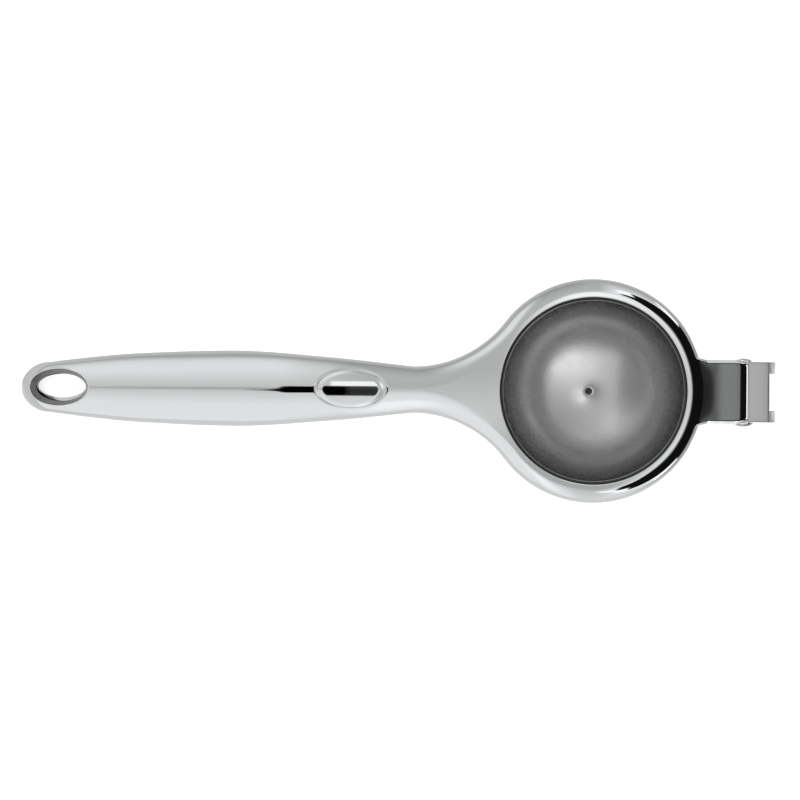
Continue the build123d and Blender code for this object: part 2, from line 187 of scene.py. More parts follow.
class Arm:
    """One of the two castings as a height over its parting face. side is +1 above, -1 below."""

    tip, tip_rounding, rear = 180 * MM, 9 * MM, 140 * MM
    hook_at, badge_at, join_at = 167 * MM, 75 * MM, 33 * MM
    land, crown_share, shoulder_share = 1.2 * MM, 0.975, 0.19

    def __init__(self, sizes, side, thinning):
        self.sizes, self.side = sizes, side
        self.neck_half = 7.6 * MM
        reach = sizes.ring_radius + sizes.flare_radius
        self.flare_y = self.neck_half + sizes.flare_radius
        self.neck = math.sqrt(reach ** 2 - self.flare_y ** 2)
        self.flare_end = self.neck * sizes.ring_radius / reach
        self.flare_turn = math.atan2(self.flare_y, self.neck)
        self.widths = np.array([(self.neck / MM, 7.6), (82, 10.25), (112, 12.2), (140, 11.4),
                                (167, 9.2), (180, 7.4)]) * MM
        self.heights = self.heights_of(thinning)
        self.droop = self.droop_to_table()

    def heights_of(self, thinning):
        """Places and heights of the handle over its parting face, thinned past the neck."""
        tall = np.array([(self.sizes.ring_radius / MM, 8.6), (self.neck / MM, 8.3), (82, 9.0),
                         (112, 11.0), (140, 9.3), (167, 7.9), (180, 6.3)])
        tall[1:, 1] -= thinning
        return tall * MM

    def droop_to_table(self):
        """The handles droop until the tail of the lower, thinner one touches the table."""
        places = self.rear + np.arange(40) * (self.tip - self.rear) / 40
        share = ((places - self.neck) / (self.tip - self.neck)) ** 2
        thick = through_points(self.heights_of(LOWER_THINNING), places) * self.tip_factor(places)
        return np.min((self.sizes.parting - self.sizes.handle_gap / 2 - thick) / share)

    def tip_factor(self, at):
        """Quarter circle that closes the handle's end."""
        inside = np.minimum((self.tip - at) / self.tip_rounding, 1.0)
        return np.sqrt(1 - (1 - inside) ** 2)

    def half_width(self, at):
        """Half the casting's width at a distance from the cup's axis, past the ring."""
        flare = self.flare_y - np.sqrt(np.maximum(self.sizes.flare_radius ** 2 - (self.neck - at) ** 2, 0))
        body = through_points(self.widths, at) * self.tip_factor(at)
        return np.where(at < self.neck, flare, body)

    def past(self, at):
        """0 on the ring and 1 on the handle, with a smooth step along the flare."""
        return smooth((at - self.flare_end) / (self.neck - self.flare_end))

    def parting(self, at):
        """Height of the middle of the gap: level to the neck, then a parabola down to the tip."""
        share = np.maximum(at - self.neck, 0.0) / (self.tip - self.neck)
        return self.sizes.parting - self.droop * share ** 2

    def foot(self, x):
        """Height of the casting's flat parting face."""
        return self.parting(-x) + self.side * self.sizes.handle_gap / 2 * self.past(-x)

    def skin(self, x, y):
        """Height of the outer face: it rises from the upright land at the outline along a
        superellipse, measured by the distance to the outline, and runs out at the crest. On the
        ring a straight shoulder is added, so that the flat lip ends in a clear line."""
        s, at, across = self.sizes, -x, np.abs(y)
        past, radius = self.past(at), np.hypot(x, y)
        to_flare = np.hypot(self.neck - at, self.flare_y - across) - s.flare_radius
        by_ring = np.arctan2(across, at) > self.flare_turn
        inside = np.where(by_ring, s.ring_radius - radius,
                          np.where(at < self.neck, to_flare, self.half_width(at) - across))
        closing = self.tip_factor(np.maximum(at, 0))
        thick = through_points(self.heights, at) * closing
        top = s.ring_height + (s.handle_gap / 2 + thick - s.ring_height) * past
        drop = s.ring_drop + (thick - self.land * closing - s.ring_drop) * past
        reach = np.maximum(self.half_width(np.maximum(at, self.neck)), self.neck_half * closing)
        reach = np.where(at < self.neck, self.neck_half, reach) * self.crown_share
        edge = s.ring_edge + (reach - s.ring_edge) * past
        share = np.clip(inside / edge, 0.0, 1.0)
        shoulder = self.shoulder_share * (1 - past)
        rise = shoulder * share + (1 - shoulder) * rounded(share)
        return self.parting(at) + self.side * (top - drop + drop * rise)

    def columns(self, at, steps=36):
        """Places across the handle, closer together at its edges."""
        t = np.linspace(-1, 1, 2 * steps + 1)
        return self.half_width(at) * np.sin(t * math.pi / 2)

    def sections(self, start, end, rows):
        """Plan grid of cross-sections from one distance to another."""
        at = np.linspace(start, end, rows)
        y = np.stack([self.columns(a) for a in at])
        return np.stack([np.repeat(-at[:, None], y.shape[1], 1), y], -1)

    def side_run(self, at, sign):
        """Plan points along one side of the handle."""
        return np.stack([-at, sign * self.half_width(at)], -1)

    def around(self, front, at, back):
        """Closed plan loop: across the front, back along +Y, across the back, forward along -Y."""
        across_front = np.stack([np.full_like(front, -at[0]), front], -1)
        across_back = np.stack([np.full_like(back, -at[-1]), back[::-1]], -1)
        return np.concatenate([across_front, self.side_run(at[1:-1], 1), across_back,
                               self.side_run(at[1:-1], -1)[::-1]])


def lift(plan, height):
    """Plan points with their heights."""
    return np.concatenate([plan, np.broadcast_to(height, plan.shape[:-1])[..., None]], -1)


def rays(inner, outer, shares):
    """Plan grid between two closed loops, at shares of the way from the inner to the outer."""
    return inner + (outer - inner) * shares[:, None, None]


def oval_towards(loop, centre, long, wide):
    """Points of an oval on the straight lines from its centre to the points of a loop."""
    turn = np.arctan2((loop[:, 1] - centre[1]) / wide, (loop[:, 0] - centre[0]) / long)
    return np.stack([centre[0] + long * np.cos(turn), centre[1] + wide * np.sin(turn)], -1)


def towards_edge(steps):
    """Shares from 0 to 1, closer together at 1."""
    return np.sin(np.linspace(0, math.pi / 2, steps + 1))


def closed(points):
    """A grid whose last column meets its first."""
    return np.concatenate([points, points[:, :1]], 1)


def lip_and_wall(arm, loop, centre, long, wide, radius, floor, floor_long, floor_wide, steps=5):
    """Rounded lip of an oval hole and its wall down to a floor: a quarter circle turns down from
    the outer face, then a straight wall leads to the floor's oval."""
    rows = []
    rim = arm.skin(*oval_towards(loop, centre, long, wide).T)
    for turn in np.linspace(math.pi / 2, 0, steps + 1):
        out = radius * (1 - math.cos(turn))
        ring = oval_towards(loop, centre, long + out, wide + out)
        level = rim - arm.side * radius * (1 - math.sin(turn))
        rows.append(lift(ring, arm.skin(*ring.T) if turn == math.pi / 2 else level))
    rows.append(lift(oval_towards(loop, centre, floor_long, floor_wide), floor))
    return closed(np.stack(rows))


def ring_part(arm, bore, seat, seat_height):
    """The ring of a casting: rays from its bore to its outline, its wall, its face, its seat."""
    s = arm.sizes
    front = arm.columns(np.array(arm.join_at))
    corner = math.atan2(front[-1], arm.join_at)
    free = np.linspace(corner, 2 * math.pi - corner, 331)
    turn = np.concatenate([np.arctan2(front, arm.join_at), free[1:-1]])
    fold = np.minimum(turn % (2 * math.pi), (-turn) % (2 * math.pi))
    along = arm.neck * np.cos(fold) + arm.flare_y * np.sin(fold)
    room = along ** 2 - (arm.neck ** 2 + arm.flare_y ** 2 - s.flare_radius ** 2)
    reach = np.where(fold < arm.flare_turn, along - np.sqrt(np.maximum(room, 0)), s.ring_radius)
    reach = np.where(fold <= corner + 1e-9, arm.join_at / np.cos(fold), reach)
    way = np.stack([-np.cos(turn), np.sin(turn)], -1)
    outline = way * reach[:, None]
    lip, even_share = 0.3 * MM, 0.34
    even = np.linspace(0, even_share, 7)[:-1]
    shares = np.concatenate([even, even_share + (1 - even_share) * towards_edge(20)])
    plan = rays(way * (bore + lip), outline, shares)
    top = closed(lift(plan, arm.skin(plan[..., 0], plan[..., 1])))
    under = rays(way * seat, outline, np.linspace(0, 1, 5))
    face = closed(lift(under, arm.foot(under[..., 0])))
    up = arm.side
    rim = arm.skin(*(way * (bore + lip)).T)
    inside = []
    for bend in np.linspace(math.pi / 2, 0, 6):
        out = lip * (1 - math.cos(bend))
        inside.append(lift(way * (bore + out), rim - up * lip * (1 - math.sin(bend))))
    seat_z = s.parting + up * seat_height
    inside += [lift(way * bore, seat_z), lift(way * seat, seat_z),
               lift(way * seat, arm.foot((way * seat)[:, 0]))]
    skirt_plan = np.concatenate([outline[len(front) - 1:], outline[:1]])
    skirt = [lift(skirt_plan, arm.skin(*skirt_plan.T)), lift(skirt_plan, arm.foot(skirt_plan[:, 0]))]
    return [top, face, closed(np.stack(inside)), np.stack(skirt)]


def handle_part(arm, with_badge):
    """The handle of a casting from its join with the ring to its tip, with the hanging hole and,
    above, the groove round the badge: cross-sections, with rays round each hole. It returns the
    outer grids and, apart, the walls of the hanging hole."""
    s, grids = arm.sizes, []
    badge_from, badge_to, rear_at = 62 * MM, 88 * MM, 153 * MM
    for start, end, rows in ((arm.join_at, badge_from, 30), (badge_from, badge_to, 27),
                             (badge_to, rear_at, 56)):
        plan = arm.sections(start, end, rows)
        grids.append(lift(plan, arm.foot(plan[..., 0])))
        for column in (0, -1):
            side = plan[:, column]
            grids.append(np.stack([lift(side, arm.skin(*side.T)), lift(side, arm.foot(side[:, 0]))]))
        if not (with_badge and start == badge_from):
            grids.append(lift(plan, arm.skin(plan[..., 0], plan[..., 1])))
    if with_badge:
        at = np.linspace(badge_from, badge_to, 27)
        loop = arm.around(arm.columns(at[0]), at, arm.columns(at[-1]))
        centre, rows, pocket = (-arm.badge_at, 0.0), [], 0.3 * MM
        inner = oval_towards(loop, centre, s.badge_long + GROOVE_WIDTH, s.badge_wide + GROOVE_WIDTH)
        plan = rays(inner, loop, towards_edge(26))
        grids.append(closed(lift(plan, arm.skin(plan[..., 0], plan[..., 1]))))
        for share in np.linspace(1, 0, 9):
            out = GROOVE_WIDTH * share
            oval = oval_towards(loop, centre, s.badge_long + out, s.badge_wide + out)
            rows.append(lift(oval, arm.skin(*oval.T) - GROOVE_DEPTH * (1 - math.sin(share * math.pi / 2))))
        floor = np.min(rows[-1][:, 2]) - pocket
        rows += [lift(rows[-1][:, :2], floor), lift(np.broadcast_to(centre, (len(loop), 2)), floor)]
        grids.append(closed(np.stack(rows)))
    cut_off = 0.03
    ends = arm.tip - arm.tip_rounding * (cut_off + (1 - cut_off) * np.linspace(1, 0, 30) ** 2)
    at = np.concatenate([np.linspace(rear_at, arm.tip - arm.tip_rounding, 24)[:-1], ends])
    back = arm.half_width(at[-1]) * np.linspace(-1, 1, 9)
    loop = arm.around(arm.columns(at[0]), at, back)
    centre, lip, taper = (-arm.hook_at, 0.0), 0.35 * MM, HOOK_TAPER
    waist_long, waist_wide = s.hook_long - taper, s.hook_wide - taper
    if arm.side < 0:
        # two castings never line up exactly
        centre, waist_wide = (-arm.hook_at, HOLE_SHIFT), waist_wide - HOLE_NARROWING
    waist = oval_towards(loop, centre, waist_long, waist_wide)
    mouth = (s.hook_long, s.hook_wide) if arm.side > 0 else (waist_long, waist_wide)
    inner = oval_towards(loop, centre, mouth[0] + lip, mouth[1] + lip)
    plan = rays(inner, loop, towards_edge(26))
    grids.append(closed(lift(plan, arm.skin(plan[..., 0], plan[..., 1]))))
    hole = lip_and_wall(arm, loop, centre, *mouth, lip, arm.foot(waist[:, 0]), waist_long, waist_wide)
    grids.append(hole[:4])
    under = rays(waist, loop, np.linspace(0, 1, 5))
    grids.append(closed(lift(under, arm.foot(under[..., 0]))))
    skirt = np.concatenate([loop[len(arm.columns(at[0])) - 1:], loop[:1]])
    grids.append(np.stack([lift(skirt, arm.skin(*skirt.T)), lift(skirt, arm.foot(skirt[:, 0]))]))
    # the walls of the hanging hole go apart, to take the dull plate painted with the hole's shade
    return grids, [hole[3:]]


def block(x, y, top, bottom):
    """Closed block over a plan grid: its top, its flat underside and the four walls between."""
    up = np.stack([x, y, np.broadcast_to(top, x.shape)], -1)
    down = np.stack([x, y, np.broadcast_to(bottom, x.shape)], -1)
    walls = [np.stack([up[i], down[i]]) for i in (0, -1)]
    return [up, down] + walls + [np.stack([up[:, i], down[:, i]]) for i in (0, -1)]


def plate(outline, sizes, low_y, high_y, edge, steps=4):
    """Plate square to Y: outline gives its X-Z loop at an inset, and both faces meet its side in
    quarter circles."""
    turns = np.linspace(0, math.pi / 2, steps + 1)
    bends = [(edge * (1 - math.sin(t)), low_y + edge * (1 - math.cos(t))) for t in turns]
    bends += [(edge * (1 - math.sin(t)), high_y - edge * (1 - math.cos(t))) for t in turns[::-1]]
    rows = []
    for inset, y in bends:
        loop = outline(sizes, inset)
        rows.append(np.stack([loop[:, 0], np.full(len(loop), y), loop[:, 1]], -1))
    middle = rows[0].mean(0)
    first, last = np.copy(rows[0]), np.copy(rows[-1])
    first[:], last[:] = (middle[0], low_y, middle[2]), (middle[0], high_y, middle[2])
    return [closed(np.stack([first] + rows + [last]))]


def turned(profile, steps=160):
    """Surface of revolution about Z from a profile of (radius, height)."""
    turn = np.linspace(0, 2 * math.pi, steps + 1)
    radius, height = np.array(profile, float).T
    return np.stack([radius[:, None] * np.cos(turn), radius[:, None] * np.sin(turn),
                     np.repeat(height[:, None], steps + 1, 1)], -1)


def bend_points(centre, radius, start, end, steps=5):
    """Points of an arc in a profile, between two angles in degrees."""
    turn = np.radians(np.linspace(start, end, steps + 1))
    return [(centre[0] + radius * math.cos(t), centre[1] + radius * math.sin(t)) for t in turn]


# ---------------------------------------------------------------- meshes
def make_piece(name, grids, material, body, nodes, sharp=38.0, dull=()):
    """One closed mesh from grids of points whose borders meet: it merges them, turns the faces
    outwards, shades smooth with sharp creases and ties the piece to its body. The dull grids
    belong to it too and take a dull plate whose dark colour is painted shade."""
    points, faces, kinds, count = [], [], [], 0
    for grid in [*grids, *dull]:
        rows, cols = grid.shape[:2]
        i, j = np.arange(rows - 1)[:, None], np.arange(cols - 1)[None, :]
        first = count + i * cols + j
        faces.append(np.stack([first, first + cols, first + cols + 1, first + 1], -1).reshape(-1, 4))
        kinds.append(np.full(len(faces[-1]), int(len(kinds) >= len(grids)), np.int32))
        points.append(grid.reshape(-1, 3))
        count += rows * cols
    mesh = bpy.data.meshes.new(name)
    mesh.from_pydata(np.concatenate(points), [], np.concatenate(faces))
    mesh.materials.append(material)
    # the dull grids take the dark plate, whose colour is painted shade
    if dull:
        mesh.materials.append(finish("dark_plate_painted_shade"))
    mesh.polygons.foreach_set("material_index", np.concatenate(kinds))
    work = bmesh.new()
    work.from_mesh(mesh)
    bmesh.ops.remove_doubles(work, verts=work.verts, dist=2e-6)
    bmesh.ops.dissolve_degenerate(work, edges=work.edges, dist=1e-7)
    bmesh.ops.recalc_face_normals(work, faces=work.faces)
    work.to_mesh(mesh)
    work.free()
    mesh.shade_smooth()
    mesh.set_sharp_from_angle(angle=math.radians(sharp))
    piece = bpy.data.objects.new(name, mesh)
    bpy.context.scene.collection.objects.link(piece)
    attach(piece, body)
    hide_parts(*nodes)
    return piece


# ---------------------------------------------------------------- materials
WAVE_REPEAT = math.pi / 10   # metres between the crests of a wave texture of scale 1


def add_node(tree, kind, values=None, links=None, **options):
    """Adds a node: options are its own settings, values its sockets and links what feeds them."""
    node = tree.nodes.new(kind)
    for key, value in options.items():
        setattr(node, key, value)
    for key, value in (values or {}).items():
        node.inputs[key].default_value = value
    for key, socket in (links or {}).items():
        tree.links.new(socket, node.inputs[key])
    return node


def new_material(name):
    """An empty node material and its tree."""
    material = bpy.data.materials.new(name)
    material.use_nodes = True
    material.node_tree.nodes.clear()
    return material, material.node_tree


def metal_finish(name, base, marks, depth, roughness, stretch=(1, 1, 1), waves=None, rings=None, drawn=0.0):
    """A metal surface by how it was worked. marks is the spacing of the grain or scratches in
    metres, stretched along their lay, which vary the roughness between two values and are depth
    deep; waves is the spacing of a polisher's soft waves; rings is the spacing of a lathe's tool
    marks about the upright axis, which draw highlights out across them by the share drawn."""
    material, tree = new_material(name)
    place = add_node(tree, "ShaderNodeTexCoord").outputs["Object"]
    lay = add_node(tree, "ShaderNodeMapping", {"Scale": stretch}, {"Vector": place})
    grain = add_node(tree, "ShaderNodeTexNoise", {"Scale": 1 / marks, "Detail": 2.0},
                     {"Vector": lay.outputs[0]}).outputs["Fac"]
    height = grain
    if waves:
        height = add_node(tree, "ShaderNodeTexNoise", {"Scale": 1 / waves, "Detail": 1.0, "Roughness": 0.4},
                          {"Vector": place}).outputs["Fac"]
    if rings:
        height = add_node(tree, "ShaderNodeTexWave",
                          {"Scale": WAVE_REPEAT / rings, "Distortion": 0.6, "Detail": 2.0},
                          {"Vector": place}, wave_type="RINGS", rings_direction="Z").outputs["Fac"]
    bump = add_node(tree, "ShaderNodeBump", {"Strength": 1.0, "Distance": depth}, {"Height": height})
    rough = add_node(tree, "ShaderNodeMapRange",
                     {"From Min": 0.3, "From Max": 0.7, "To Min": roughness[0], "To Max": roughness[1]},
                     {"Value": grain})
    links = {"Roughness": rough.outputs[0], "Normal": bump.outputs[0]}
    if rings:
        links["Tangent"] = add_node(tree, "ShaderNodeTangent", direction_type="RADIAL", axis="Z").outputs[0]
    shader = add_node(tree, "ShaderNodeBsdfPrincipled",
                      {"Base Color": (*base, 1), "Metallic": 1.0, "Anisotropic": drawn}, links)
    add_node(tree, "ShaderNodeOutputMaterial", links={"Surface": shader.outputs[0]})
    return material


def finish(name):
    """A finish by name, made once and shared."""
    made = bpy.data.materials.get(name)
    if made:
        return made
    f = bpy.context.scene.squeezer_finish
    if name == "bright_chrome":
        # nickel-chrome plate on a polished zinc casting: a mirror with soft waves 9 mm apart from
        # the mop, and hair scratches, drawn 0.25 mm apart so that they show, that only soften it
        return metal_finish(name, f.chrome, 0.25 * MM, 0.004 * MM, (0.02, 0.055), (0.08, 1, 1),
                            waves=9 * MM)
    if name == "dark_plate_painted_shade":
        # the same plate, thinner and dull where the mop can't reach; its dark colour is painted shade on
        # the walls of the hanging hole, in the dish's rim seam and on the pip's top
        return metal_finish(name, f.shaded_recess, 0.4 * MM, 0.01 * MM, (0.3, 0.42))
    if name == "ground_chrome":
        # chrome over a face ground on a belt, whose lines, drawn 0.3 mm apart, run across it
        return metal_finish(name, f.ground, 0.3 * MM, 0.003 * MM, (0.3, 0.42), (1, 0.05, 1))
    if name == "spun_steel":
        # stainless steel spun over a former and left satin: tool marks about the axis, drawn
        # 1.18 mm apart so that they show, that stretch its highlights
        return metal_finish(name, f.steel, 6 * MM, 0.0024 * MM, (0.22, 0.3), rings=1.178 * MM, drawn=0.35)
    # bare steel rod, headed cold: dull and slightly grainy
    return metal_finish(name, f.rivet, 0.6 * MM, 0.006 * MM, (0.22, 0.36))


# ---------------------------------------------------------------- operators
class SQUEEZER_OT_upper_casting(bpy.types.Operator):
    """Upper handle with its ring, hanging hole and badge pocket"""
    bl_idname = "squeezer.upper_casting"
    bl_label = "Upper casting"

    def execute(self, context):
        s = context.scene.squeezer_sizes
        arm = Arm(s, 1, 0.0)
        grids, hole = handle_part(arm, True)
        grids += ring_part(arm, s.dish_bore, s.dish_seat, seat_height=2.0 * MM)
        make_piece("upper_casting", grids, finish("bright_chrome"), "upper_half",
                   ["upper_arm"], dull=hole)
        return {"FINISHED"}


class SQUEEZER_OT_lower_casting(bpy.types.Operator):
    """Lower handle with its ring and hanging hole"""
    bl_idname = "squeezer.lower_casting"
    bl_label = "Lower casting"

    def execute(self, context):
        s = context.scene.squeezer_sizes
        arm = Arm(s, -1, LOWER_THINNING)
        grids, hole = handle_part(arm, False)
        grids += ring_part(arm, s.cup_bore, s.cup_seat, seat_height=1.6 * MM)
        make_piece("lower_casting", grids, finish("bright_chrome"), "lower_half",
                   ["lower_arm"], dull=hole)
        return {"FINISHED"}


def pin_place(sizes):
    """Place of the hinge pin's axis along X and Z."""
    return np.array([sizes.pin_distance, sizes.parting - sizes.pin_drop])


def ways_round(steps):
    """Unit directions all the way round."""
    turn = np.linspace(0, 2 * math.pi, steps + 1)[:-1]
    return np.stack([np.cos(turn), np.sin(turn)], -1)


def fork_outline(sizes, inset):
    """Loop round the cheek: in each direction, the farthest reach of its three circles."""
    way, circles = ways_round(240), np.array(CHEEK_CIRCLES) * MM
    middles, radii = circles[:, :2], circles[:, 2] - inset
    best = np.argmax(way @ middles.T + radii, axis=1)
    return middles[best] + way * radii[best][:, None] + pin_place(sizes)


def knuckle_outline(sizes, inset):
    """Loop round the knuckle: the farthest, along each ray from the pin, of the knuckle's circle
    and the straight-sided neck and stop heel."""
    way, stop = ways_round(360), math.radians(HEEL_ANGLE)
    touch = (HEEL_REACH * math.sin(stop), HEEL_REACH * math.cos(stop))
    run = (touch[1] - HEEL_FOOT) / math.sin(stop)
    spots = np.array([(0, KNUCKLE_TOP), (0, 0), touch, (touch[0] + run * math.cos(stop), HEEL_FOOT),
                      (-KNUCKLE_RADIUS, HEEL_FOOT), (NECK_START, NECK_FOOT), (NECK_START, KNUCKLE_TOP),
                      (0, KNUCKLE_TOP)]) * MM
    reach = np.full(len(way), KNUCKLE_RADIUS * MM)
    tiny = 1e-9
    for a, b in zip(spots, spots[1:]):
        d = b - a
        cross = way[:, 0] * d[1] - way[:, 1] * d[0]
        meets = np.abs(cross) > 1e-12
        safe = np.where(meets, cross, 1.0)
        far = (a[0] * d[1] - a[1] * d[0]) / safe
        part = (a[0] * way[:, 1] - a[1] * way[:, 0]) / safe
        hit = meets & (far > 0) & (part >= -tiny) & (part <= 1 + tiny)
        reach = np.where(hit, np.maximum(reach, far), reach)
    return way * (reach - inset)[:, None] + pin_place(sizes)


def tab_height_field(sizes, x, across):
    """Height of the tab's outer face. Outwards from the ring, along circles first and along X
    further out, it falls as a cubic that dies out on a gently falling flat, then as a parabola,
    a narrow straight facet and a round corner. Its long edges are bevelled by the distance to
    the side and to the fillets in the corners with the ring, where they also take the fall of
    the ring's own edge."""
    root, ramp, rise, low, fall = 31 * MM, 12.5 * MM, 1.0 * MM, sizes.parting + 6.2 * MM, 0.065
    lip, bevel, facet, facet_fall = 1.1 * MM, 0.7, 0.45 * MM, math.tan(math.radians(41))
    circles_run, ramp_limit, corner, corner_drop = 7 * MM, 1.3, 0.15 * MM, 0.45 * MM
    out = x + (np.hypot(x, across) - x) * (1 - smooth((x - root) / circles_run))
    height = low + fall * (TAB_FLAT_END - out) + rise * np.clip(1 - (out - root) / ramp, 0, ramp_limit) ** 3
    bend = sizes.tab_end - corner - facet - TAB_FLAT_END
    behind = np.maximum(x - TAB_FLAT_END, 0)
    height = height - math.tan(TAB_END_TILT) * bend * np.clip(behind / bend, 0, 1) ** 2 / 2
    height = height - facet_fall * np.clip(behind - bend, 0, facet)
    last = np.clip((behind - bend - facet) / corner, 0, 1)
    height = height - corner_drop * (1 - np.sqrt(1 - last ** 2))
    middle_x, middle_y = tab_corner(sizes)
    inside = sizes.tab_half - across
    fillet = np.hypot(x - middle_x, across - middle_y) - TAB_FILLET
    inside = np.where(x < middle_x, np.maximum(inside, 0) + np.minimum(fillet, lip), inside)
    touch = middle_y * sizes.ring_radius / (sizes.ring_radius + TAB_FILLET) - sizes.tab_half
    by_ring = smooth((across - sizes.tab_half) / touch) * (1 - rounded(fillet / sizes.ring_edge))
    return height - bevel * np.maximum(lip - inside, 0) - sizes.ring_drop * by_ring


def tab_corner(sizes):
    """Middle of the round fillet, in plan, between the ring and the tab."""
    across = sizes.tab_half + TAB_FILLET
    return math.sqrt((sizes.ring_radius + TAB_FILLET) ** 2 - across ** 2), across


def hinge_tab(sizes):
    """Grids of the tab: a plan grid as wide as the tab and its fillets, lifted to the larger of
    the ring's and the tab's height with the crease between them filled."""
    start, corner, fillet_share = 29.9 * MM, 2.2 * MM, 0.95
    reach, crease, fall_past_rim = 0.6 * MM, 0.04 * MM, 6
    x = np.concatenate([np.linspace(start, TAB_FLAT_END, 90)[:-1],
                        sizes.tab_end - (sizes.tab_end - TAB_FLAT_END) * (1 - towards_edge(40))])
    middle_x, middle_y = tab_corner(sizes)
    notch = np.clip(middle_x - x, 0, TAB_FILLET * fillet_share)
    half = middle_y - np.sqrt(TAB_FILLET ** 2 - notch ** 2)
    shares = np.sin(np.linspace(-1, 1, 97) * math.pi / 2)
    y = half[:, None] * shares
    from_side = np.clip(1 - (half[:, None] - np.abs(y)) / corner, 0, 1)
    cut = corner * (1 - np.sqrt(1 - from_side ** 2))
    x = x[:, None] + np.zeros_like(y)
    tab = tab_height_field(sizes, x + cut * smooth((x - TAB_FLAT_END + corner) / corner), np.abs(y))
    from_rim = sizes.ring_radius - np.hypot(x, y)
    share = np.clip(from_rim / sizes.ring_edge, 0, 1)
    rise = Arm.shoulder_share * share + (1 - Arm.shoulder_share) * rounded(share)
    ring = sizes.parting + sizes.ring_height - sizes.ring_drop * (1 - rise)
    ring = np.where(from_rim < 0, ring + fall_past_rim * from_rim, ring)
    top = smooth_max(ring, tab, reach) - crease * smooth((ring - tab) / reach)
    return block(x, y, top, sizes.parting + BLOCK_FOOT)


def hinge_cap(sizes):
    """Grids of the cap behind the tab: a flat block whose end is rounded by a quarter ellipse and
    whose sides are rounded by quarter circles."""
    start, lip, lip_drop, wide = 31 * MM, 0.8 * MM, 0.48 * MM, 0.35 * MM
    flat = sizes.cap_half - wide
    run = np.concatenate([np.linspace(start, sizes.cap_end - lip, 12)[:-1],
                          sizes.cap_end - lip * (1 - towards_edge(8))])
    bend = wide * towards_edge(4)[1:]
    across = np.concatenate([-flat - bend[::-1], np.linspace(-flat, flat, 21), flat + bend])
    x, y = np.meshgrid(run, across, indexing="ij")
    fall = lip_drop * (1 - np.sqrt(1 - np.clip((x - sizes.cap_end + lip) / lip, 0, 1) ** 2))
    fall += wide * (1 - np.sqrt(1 - np.clip((np.abs(y) - flat) / wide, 0, 1) ** 2))
    return block(x, y, sizes.parting + sizes.cap_height - fall, sizes.parting + BLOCK_FOOT)


class SQUEEZER_OT_hinge_fork(bpy.types.Operator):
    """Tab on the upper ring with its cap and the two cheeks of the hinge"""
    bl_idname = "squeezer.hinge_fork"
    bl_label = "Hinge fork"

    def execute(self, context):
        s, thickness = context.scene.squeezer_sizes, 3.65 * MM
        make_piece("hinge_tab", hinge_tab(s), finish("bright_chrome"), "upper_half",
                   ["upper_arm"], sharp=50)
        make_piece("hinge_cap", hinge_cap(s), finish("ground_chrome"), "upper_half",
                   ["upper_arm"])
        cheeks = []
        for low in (-s.cap_half, s.cap_half - thickness):
            cheeks += plate(fork_outline, s, low, low + thickness, edge=0.35 * MM)
        make_piece("hinge_cheeks", cheeks, finish("ground_chrome"), "upper_half",
                   ["upper_arm"])
        return {"FINISHED"}


class SQUEEZER_OT_knuckle(bpy.types.Operator):
    """Knuckle of the lower casting with its neck and stop heel"""
    bl_idname = "squeezer.knuckle"
    bl_label = "Knuckle"

    def execute(self, context):
        half = 5.5 * MM
        grids = plate(knuckle_outline, context.scene.squeezer_sizes, -half, half, edge=0.4 * MM)
        make_piece("hinge_knuckle", grids, finish("ground_chrome"), "lower_half",
                   ["lower_arm"])
        return {"FINISHED"}


def dish_profiles(depth):
    """Half sections of the dish in millimetres: an elliptical bowl with a soft pip in its middle,
    its cut rim, then a collar with a flange, and the same bowl one wall further out. The pip is a
    bell curve that fades to nothing at its foot."""
    lip, corner, pip_steps, stop_short = 0.5, 0.25, 12, 0.012
    radius = np.linspace(0, PIP_FOOT, 35)
    inner_turn = np.linspace(math.acos(radius[-1] / DISH_RIM), stop_short, 90)
    pip = DISH_RIM_Z - depth * np.sqrt(1 - (radius / DISH_RIM) ** 2)
    pip += PIP_HEIGHT * np.exp(-(radius / PIP_WIDTH) ** 2) * (1 - (radius / radius[-1]) ** 6)
    bowl = list(zip(radius, pip))
    # the pip's top is split off to take the dull plate, painted dark as the pip's shade
    pip_top_painted_dark, bowl = bowl[:pip_steps], bowl[pip_steps - 1:]
    bowl += [(DISH_RIM * math.cos(a), DISH_RIM_Z - depth * math.sin(a)) for a in inner_turn[1:]]
    bowl += bend_points((DISH_RIM + lip, DISH_RIM_Z - lip), lip, 170, 125)
    # the cut rim takes the dull plate, painted dark as the shade in the seam
    cut = bowl[-1:] + bend_points((DISH_RIM + lip, DISH_RIM_Z - lip), lip, 115, 90)
    cut += bend_points((DISH_COLLAR - corner, DISH_RIM_Z - corner), corner, 90, 0)
    first = math.asin((DISH_RIM_Z - FLANGE_UNDER) / (depth + DISH_WALL))
    shell = [(DISH_COLLAR, DISH_RIM_Z - corner), (DISH_COLLAR, FLANGE_TOP), (FLANGE_RIM, FLANGE_TOP),
             (FLANGE_RIM, FLANGE_UNDER)]
    shell += [(DISH_COLLAR * math.cos(a), DISH_RIM_Z - (depth + DISH_WALL) * math.sin(a))
              for a in np.linspace(first, math.pi / 2, 50)]
    return bowl, cut, shell, pip_top_painted_dark


class SQUEEZER_OT_press_dish(bpy.types.Operator):
    """Spun dish with its collar, its flange and the pip in its middle"""
    bl_idname = "squeezer.press_dish"
    bl_label = "Press dish"

    def execute(self, context):
        bowl, rim, shell, pip = dish_profiles(context.scene.squeezer_sizes.dish_depth / MM)
        # the seam at the rim and the top of the pip take the dull plate, whose dark colour is painted shade
        make_piece("press_dish_spun", [turned(bowl) * MM, turned(shell) * MM], finish("spun_steel"),
                   "upper_half", ["press_dish"], dull=[turned(rim) * MM, turned(pip) * MM])
        return {"FINISHED"}


